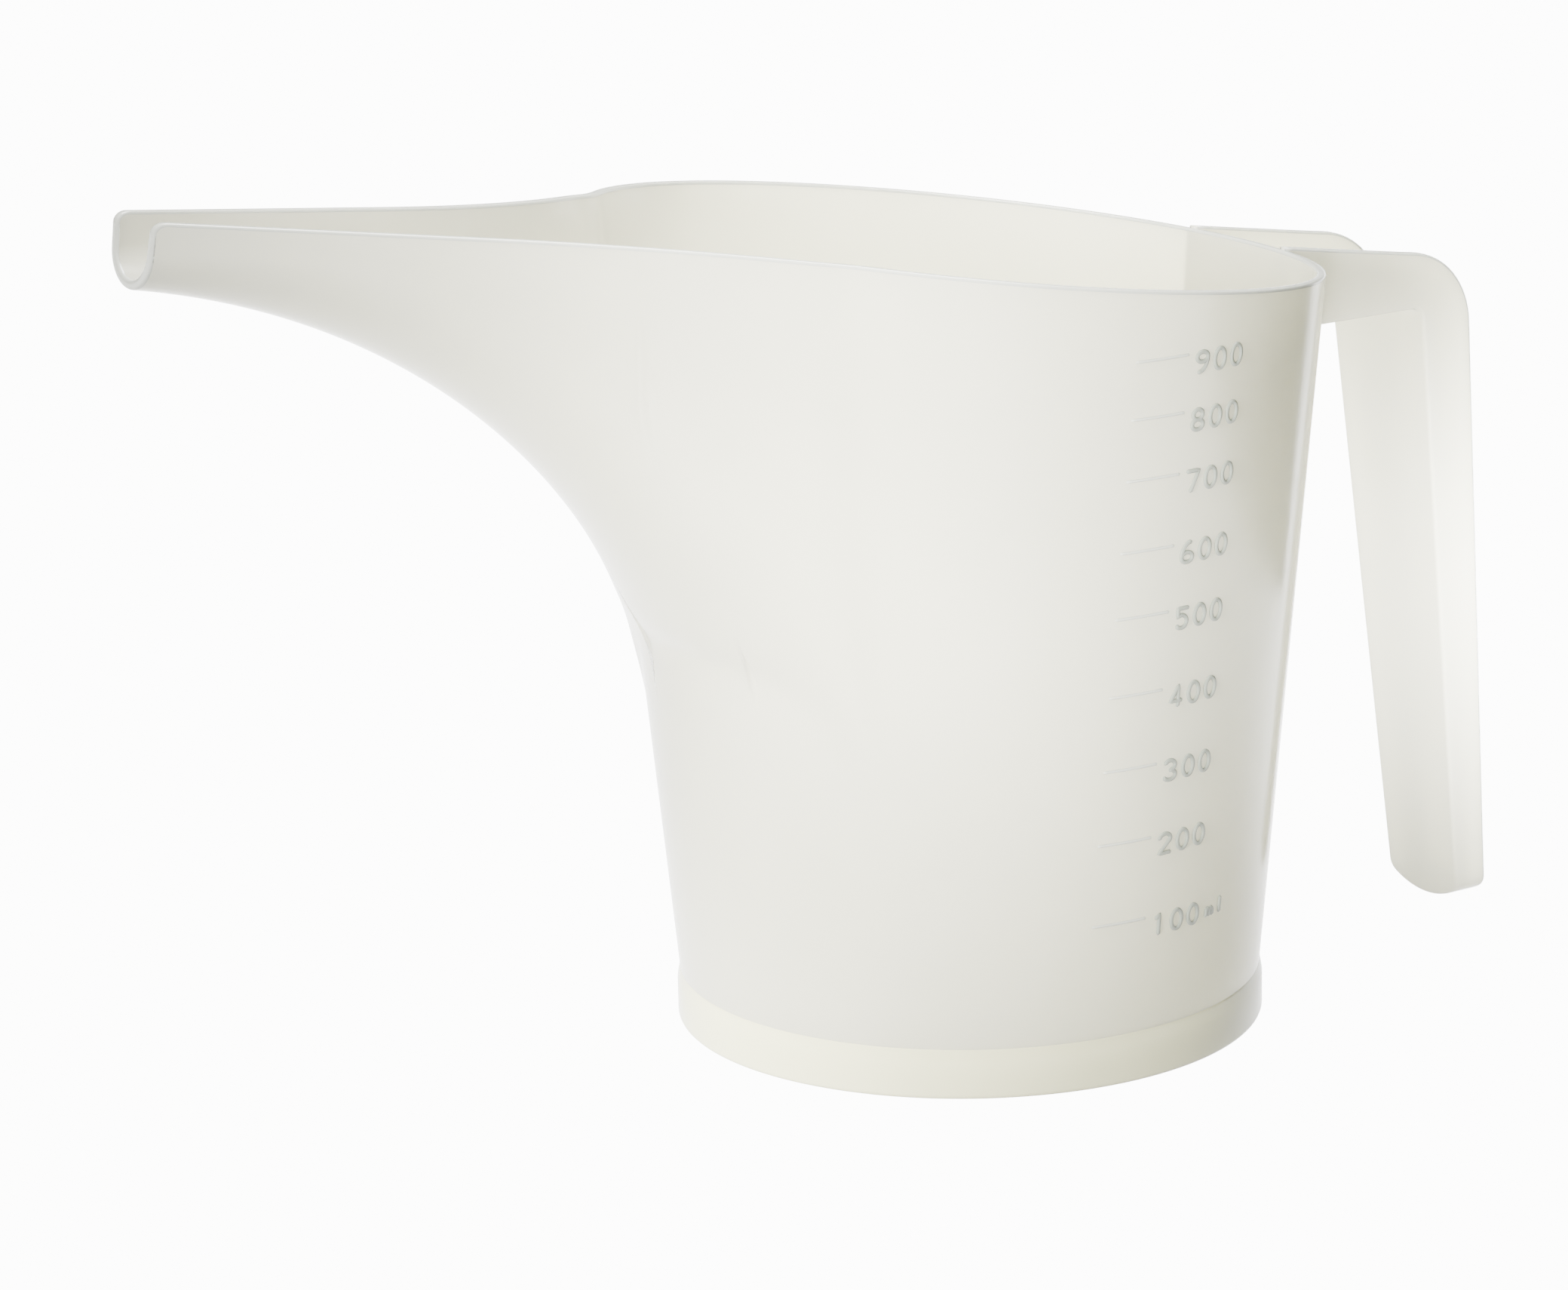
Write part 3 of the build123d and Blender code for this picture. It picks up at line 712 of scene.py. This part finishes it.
def digit_strokes(character):
    """Centre lines of one character about 0, 0, in millimetres: (points, is it a closed loop)."""
    w, h = DIGIT_WIDTH / 2, DIGIT_HEIGHT / 2
    q = h / 2

    def line(*points):
        return (np.array(points, float), False)

    def arc(*args):
        return (arc_points(*args), False)

    def ring(centre, half_width, half_height):
        return (arc_points(centre, half_width, half_height, 0, 345, 24), True)

    five_bowl = arc_points((-w * 0.1, -q * 0.7), w, q * 1.3, 130, -140)
    shapes = {
        "0": [ring((0, 0), w, h)],
        "1": [line((-w / 2, q * 1.3), (0, h), (0, -h))],
        "2": [(np.concatenate([arc_points((0, q), w, q, 170, -20), [(-w, -h), (w, -h)]]), False)],
        "3": [arc((-w * 0.1, q), w * 0.95, q, 150, -80), arc((-w * 0.1, -q), w * 1.05, q, 85, -150)],
        "4": [line((w, -q), (-w, -q), (w * 0.4, h), (w * 0.4, -h))],
        "5": [(np.concatenate([[(w, h), (-w * 0.8, h)], five_bowl]), False)],
        "6": [ring((0, -q), w, q), arc((w * 0.6, -q), w * 1.6, h + q, 180, 92)],
        "7": [line((-w, h), (w, h), (-w * 0.3, -h))],
        "8": [ring((0, q), w * 0.85, q), ring((0, -q), w, q)],
        "9": [ring((0, q), w, q), arc((-w * 0.6, q), w * 1.6, h + q, 0, -88)],
        "m": [line((-w, -h), (-w, 0)), arc((-w / 2, -q), w / 2, q, 180, 0), line((0, -q), (0, -h)),
              arc((w / 2, -q), w / 2, q, 180, 0), line((w, -q), (w, -h))],
        "l": [line((0, -h), (0, h))],
    }
    return shapes[character]


def on_cup(along, up, angle, z, lift):
    """A point on the cup's outside, offset along and up from the mark's place, raised by lift."""
    height = z + up
    radius = cone_radius(height)
    turn = math.radians(angle) + along / cone_radius(z)
    return np.array([(radius + lift) * math.cos(turn), (radius + lift) * math.sin(turn), height])


def bead(mesh, points, closed, width, place):
    """A raised round-topped stroke along a centre line; place puts (along, up, lift) on the cup."""
    points = np.asarray(points, float)
    if closed:
        tangent = np.roll(points, -1, axis=0) - np.roll(points, 1, axis=0)
    else:
        points = finer(points, STROKE_STEP)
        tangent = np.gradient(points, axis=0)
    tangent = unit(tangent)
    normal = np.stack([-tangent[:, 1], tangent[:, 0]], axis=1)
    swell = np.ones(len(points))
    if not closed:
        reach = width * END_REACH
        ends = [points[0] - tangent[0] * reach, points[-1] + tangent[-1] * reach]
        points = np.concatenate([[ends[0]], points, [ends[1]]])
        normal = np.concatenate([[normal[0]], normal, [normal[-1]]])
        swell = np.concatenate([[END_SWELL], swell, [END_SWELL]])
    rows = []
    for point, side, size in zip(points, normal, swell):
        row = []
        for across, lift in BEAD_SHAPE:
            along, up = point + side * across * width / 2 * size
            row.append(place(along, up, MARK_RELIEF * (lift * size if lift > 0 else lift)))
        rows.append(row)
    grid = np.array(rows)
    grid = np.concatenate([grid, grid[:, :1]], axis=1)
    mesh.grid(grid, 0, closed=closed)
    if not closed:
        mesh.cap(grid[0, :-1])
        mesh.cap(grid[-1, :-1])


def finer(points, step):
    """The polyline with extra points, so that no gap is longer than step."""
    result = [points[0]]
    for a, b in zip(points, points[1:]):
        parts = max(1, int(math.ceil(np.linalg.norm(b - a) / step)))
        result += [a + (b - a) * k / parts for k in range(1, parts + 1)]
    return np.array(result)


def mark_angle(value):
    share = (MARK_HEIGHTS[value] - MARK_HEIGHTS[100]) / (MARK_HEIGHTS[900] - MARK_HEIGHTS[100])
    return MARK_ANGLE_LOW + share * (MARK_ANGLE_HIGH - MARK_ANGLE_LOW)


def graduation_lines(materials):
    mesh = Mesh()
    half = MARK_LINE_LENGTH / 2 - LINE_END
    for value, z in MARK_HEIGHTS.items():
        angle = mark_angle(value)
        bead(mesh, [(-half, 0), (half, 0)], False, MARK_LINE_WIDTH,
             lambda along, up, lift: on_cup(along, up, angle, z, lift))
    return mesh.build("graduation_line_beads", materials)


def graduation_numerals(materials):
    mesh = Mesh()
    first = MARK_LINE_LENGTH / 2 + LABEL_GAP + DIGIT_WIDTH / 2
    for value, z in MARK_HEIGHTS.items():
        angle = mark_angle(value)
        labels = [(character, i * DIGIT_PITCH, 1.0) for i, character in enumerate(str(value))]
        if value == 100:
            labels += [(letter, pitches * DIGIT_PITCH, UNIT_SIZE) for letter, pitches in UNIT_PLACES]
        for character, offset, size in labels:
            for points, closed in digit_strokes(character):
                bead(mesh, points * size, closed, DIGIT_STROKE,
                     lambda along, up, lift: on_cup(along + first + offset, up - LABEL_DROP,
                                                    angle, z, lift))
    return mesh.build("graduation_numeral_beads", materials)


# ======================= materials =======================
class Shader:
    """A material's node tree with short ways to add and join nodes."""

    def __init__(self, name):
        self.material = bpy.data.materials.new(name)
        self.material.use_nodes = True
        self.tree = self.material.node_tree
        self.tree.nodes.clear()
        self.out = self.add("ShaderNodeOutputMaterial")

    def add(self, kind, values=(), **settings):
        """A node with its settings; values maps its inputs to a value or another node's output."""
        node = self.tree.nodes.new(kind)
        for key, value in settings.items():
            setattr(node, key, value)
        for key, value in dict(values).items():
            if isinstance(value, bpy.types.NodeSocket):
                self.tree.links.new(value, node.inputs[key])
            else:
                node.inputs[key].default_value = value
        return node

    def noise(self, scale, detail=3.0, roughness=0.5, stretch=(1, 1, 1)):
        place = self.add("ShaderNodeTexCoord")
        mapping = self.add("ShaderNodeMapping", {"Vector": place.outputs["Object"], "Scale": stretch})
        node = self.add("ShaderNodeTexNoise", {"Vector": mapping.outputs[0], "Scale": scale,
                                               "Detail": detail, "Roughness": roughness})
        return node.outputs["Fac"]

    def ramp(self, value, low, high, from_low=0.0, from_high=1.0):
        values = {"Value": value, "From Min": from_low, "From Max": from_high,
                  "To Min": low, "To Max": high}
        return self.add("ShaderNodeMapRange", values).outputs[0]

    def maths(self, operation, a, b):
        return self.add("ShaderNodeMath", {0: a, 1: b}, operation=operation).outputs[0]

    def mix_colour(self, share, a, b):
        node = self.add("ShaderNodeMix", {0: share, 6: a, 7: b}, data_type="RGBA")
        return node.outputs[2]

    def along(self, axis):
        """Position in the row frame along one axis, in metres."""
        place = self.add("ShaderNodeTexCoord")
        parts = self.add("ShaderNodeSeparateXYZ", {0: place.outputs["Object"]})
        return parts.outputs["XYZ".index(axis)]

    def bump(self, strength, height, distance, **inputs):
        values = {"Strength": strength, "Height": height, "Distance": distance}
        return self.add("ShaderNodeBump", {**values, **inputs}).outputs[0]


def plastic(name, pale, deep, through, gloss=0.16):
    """Natural polypropylene: a satin skin over a milky, light-passing body."""
    shader = Shader(name)
    cloud = shader.noise(28.0, 4.0, 0.55)
    grain = shader.noise(900.0, 2.0, 0.6)
    flow = shader.noise(60.0, 3.0, 0.5, (1, 1, 0.25))
    tone = shader.ramp(cloud, 0.0, 1.0, 0.3, 0.7)
    colour = shader.mix_colour(tone, (*deep, 1), (*pale, 1))
    # painted shade: the colour darkens towards the spout's end, standing in for the dimmer light there
    spout = shader.ramp(shader.along("X"), SPOUT_PAINTED_SHADE, 1.0, *SPOUT_PAINTED_SHADE_SPAN)
    shade = shader.add("ShaderNodeCombineColor", {0: spout, 1: spout, 2: spout}).outputs[0]
    product = {"data_type": "RGBA", "blend_type": "MULTIPLY"}
    colour = shader.add("ShaderNodeMix", {0: 1.0, 6: colour, 7: shade}, **product).outputs[2]
    rough = shader.ramp(shader.maths("ADD", grain, flow), gloss - 0.06, gloss + 0.10, 0.6, 1.4)
    texture = shader.bump(0.25, grain, 0.00004)
    normal = shader.bump(0.2, flow, 0.0003, Normal=texture)
    diffuse = shader.add("ShaderNodeBsdfDiffuse", {"Color": colour, "Normal": normal})
    passing = shader.add("ShaderNodeBsdfTranslucent", {"Color": colour, "Normal": normal})
    body = shader.add("ShaderNodeMixShader", {0: through, 1: diffuse.outputs[0], 2: passing.outputs[0]})
    gleam = {"Color": (1, 1, 1, 1), "Roughness": rough, "Normal": normal}
    skin = shader.add("ShaderNodeBsdfGlossy", gleam)
    fresnel = shader.add("ShaderNodeFresnel", {"IOR": 1.45, "Normal": normal})
    layers = {0: fresnel.outputs[0], 1: body.outputs[0], 2: skin.outputs[0]}
    whole = shader.add("ShaderNodeMixShader", layers)
    shader.tree.links.new(whole.outputs[0], shader.out.inputs["Surface"])
    return shader.material


def table_material():
    """White seamless paper, so strongly lit that it shows no shadow."""
    shader = Shader("table_white")
    speck = shader.noise(3.0, 2.0)
    colour = shader.mix_colour(speck, (0.985, 0.99, 0.97, 1), (0.99, 0.99, 0.98, 1))
    path = shader.add("ShaderNodeLightPath")
    seen = shader.maths("MULTIPLY", path.outputs["Is Camera Ray"], TABLE_SEEN - TABLE_LIGHT)
    mirrored = shader.maths("MULTIPLY", path.outputs["Is Glossy Ray"], TABLE_MIRRORED - TABLE_LIGHT)
    place = shader.add("ShaderNodeTexCoord")
    ends = {0: place.outputs["Object"], 1: SHADE_PLACE}
    away = shader.add("ShaderNodeVectorMath", ends, operation="DISTANCE")
    fall = {"Value": away.outputs["Value"], "From Min": 0.0, "From Max": 2 * SHADE_SIZE,
            "To Min": SHADE_DEPTH, "To Max": 0.0}
    near = shader.add("ShaderNodeMapRange", fall, interpolation_type="SMOOTHSTEP")
    unseen = shader.maths("SUBTRACT", 1.0, path.outputs["Is Camera Ray"])
    shade = shader.maths("MULTIPLY", near.outputs[0], unseen)
    strength = shader.maths("ADD", shader.maths("ADD", seen, mirrored), TABLE_LIGHT)
    strength = shader.maths("MULTIPLY", strength, shader.maths("SUBTRACT", 1.0, shade))
    glow = shader.add("ShaderNodeEmission", {"Color": colour, "Strength": strength})
    shader.tree.links.new(glow.outputs[0], shader.out.inputs["Surface"])
    return shader.material


def card_material():
    shader = Shader("black_card")
    felt = shader.mix_colour(shader.noise(200.0), (0.02, 0.02, 0.02, 1), (0.04, 0.04, 0.035, 1))
    matt = shader.add("ShaderNodeBsdfDiffuse", {"Color": felt, "Roughness": 0.9})
    shader.tree.links.new(matt.outputs[0], shader.out.inputs["Surface"])
    return shader.material


# ======================= stage =======================
def stage_quad(name, corners, material):
    mesh = bpy.data.meshes.new(name)
    mesh.from_pydata(corners, [], [(0, 1, 2, 3)])
    mesh.materials.append(material)
    quad = bpy.data.objects.new(name, mesh)
    bpy.context.scene.collection.objects.link(quad)


def make_table():
    far = TABLE_EXTENT
    corners = [(-far, -far, 0), (far, -far, 0), (far, far, 0), (-far, far, 0)]
    stage_quad("table", corners, table_material())


def make_card():
    """A dark card right of the handle, outside the view, mirrored by the cup's right side."""
    x, near, end, top = CARD
    stage_quad("dark_card", [(x, near, 0), (x, end, 0), (x, end, top), (x, near, top)], card_material())


def area_light(name, place, target, size, power, seen=True, spread=180):
    data = bpy.data.lights.new(name, "AREA")
    data.shape = "RECTANGLE"
    data.size, data.size_y = size
    data.energy = power
    data.spread = math.radians(spread)
    light = bpy.data.objects.new(name, data)
    light.location = place
    aim = Vector(target) - Vector(place)
    light.rotation_euler = aim.to_track_quat("-Z", "Y").to_euler()
    light.visible_camera = seen
    light.visible_glossy = seen
    bpy.context.scene.collection.objects.link(light)


def make_world():
    world = bpy.data.worlds.new("studio")
    world.use_nodes = True
    background = world.node_tree.nodes["Background"]
    background.inputs["Color"].default_value = (0.97, 0.985, 1.0, 1)
    background.inputs["Strength"].default_value = ROOM_LIGHT
    bpy.context.scene.world = world


def make_camera():
    """The camera of the studio view, from in front of the graduations."""
    place = np.array(VIEW_PLACE) * MM
    yaw, pitch, roll = (math.radians(angle) for angle in (VIEW_YAW, VIEW_PITCH, VIEW_ROLL))
    level = math.cos(pitch)
    ahead = np.array([math.sin(yaw) * level, math.cos(yaw) * level, -math.sin(pitch)])
    right = np.array([math.cos(yaw), -math.sin(yaw), 0])
    up = np.cross(right, ahead)
    cosine, sine = math.cos(roll), math.sin(roll)
    axes = [cosine * right + sine * up, -sine * right + cosine * up, -ahead, place]
    matrix = Matrix(np.vstack([np.column_stack(axes), [0, 0, 0, 1]]).tolist())
    data = bpy.data.cameras.new("view")
    data.lens = VIEW_LENS
    data.sensor_width = 36
    data.shift_x, data.shift_y = VIEW_SHIFT
    data.clip_start, data.clip_end = 0.05, 20
    camera = bpy.data.objects.new("view", data)
    bpy.context.scene.collection.objects.link(camera)
    camera.matrix_world = matrix
    bpy.context.scene.camera = camera


def attach(piece, nodes):
    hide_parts(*nodes)
    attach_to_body(piece, "root")


def main():
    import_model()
    wall = plastic("polypropylene", *WALL_PLASTIC)
    # painted shade: a darker copy of the plastic for the rims and the handle's free edges
    edge = plastic("polypropylene_painted_dark_edge", *EDGE_PAINTED_SHADE_PLASTIC)
    foot = plastic("foot_polypropylene", *FOOT_PLASTIC)
    # painted shade: darker copies of the plastic for the raised numerals and lines
    numeral = plastic("relief", *NUMERAL_PAINTED_SHADE_PLASTIC)
    line = plastic("relief_line", *LINE_PAINTED_SHADE_PLASTIC)
    shell_nodes = ("cup_wall", "cup_floor", "spout_throat", "spout_trough")
    attach(pitcher_shell([wall, edge]), shell_nodes)
    attach(foot_band([foot]), ("foot_ring",))
    attach(handle_channel([wall, edge]), ("handle_arm", "handle_grip"))
    attach(graduation_lines([line]), ("graduation_lines",))
    attach(graduation_numerals([numeral]), ("graduation_numerals",))
    make_table()
    make_card()
    make_world()
    area_light("over_cup", (0.02, 0.0, 0.42), (0.02, 0, 0.1), (0.22, 0.22), OVER_POWER)
    area_light("behind_cup", BACK_PLACE, (0.023, 0, 0.075), BACK_SIZE, BACK_POWER, seen=False)
    lamps = {"cup_lamp": CUP_LAMP, "front_lamp": FRONT_LAMP, "grip_lamp": GRIP_LAMP,
             "rim_lamp": RIM_LAMP, "foot_lamp": FOOT_LAMP}
    for name, (place, target, width, power, beam) in lamps.items():
        area_light(name, place, target, (width, width), power, seen=False, spread=beam)
    make_camera()


main()
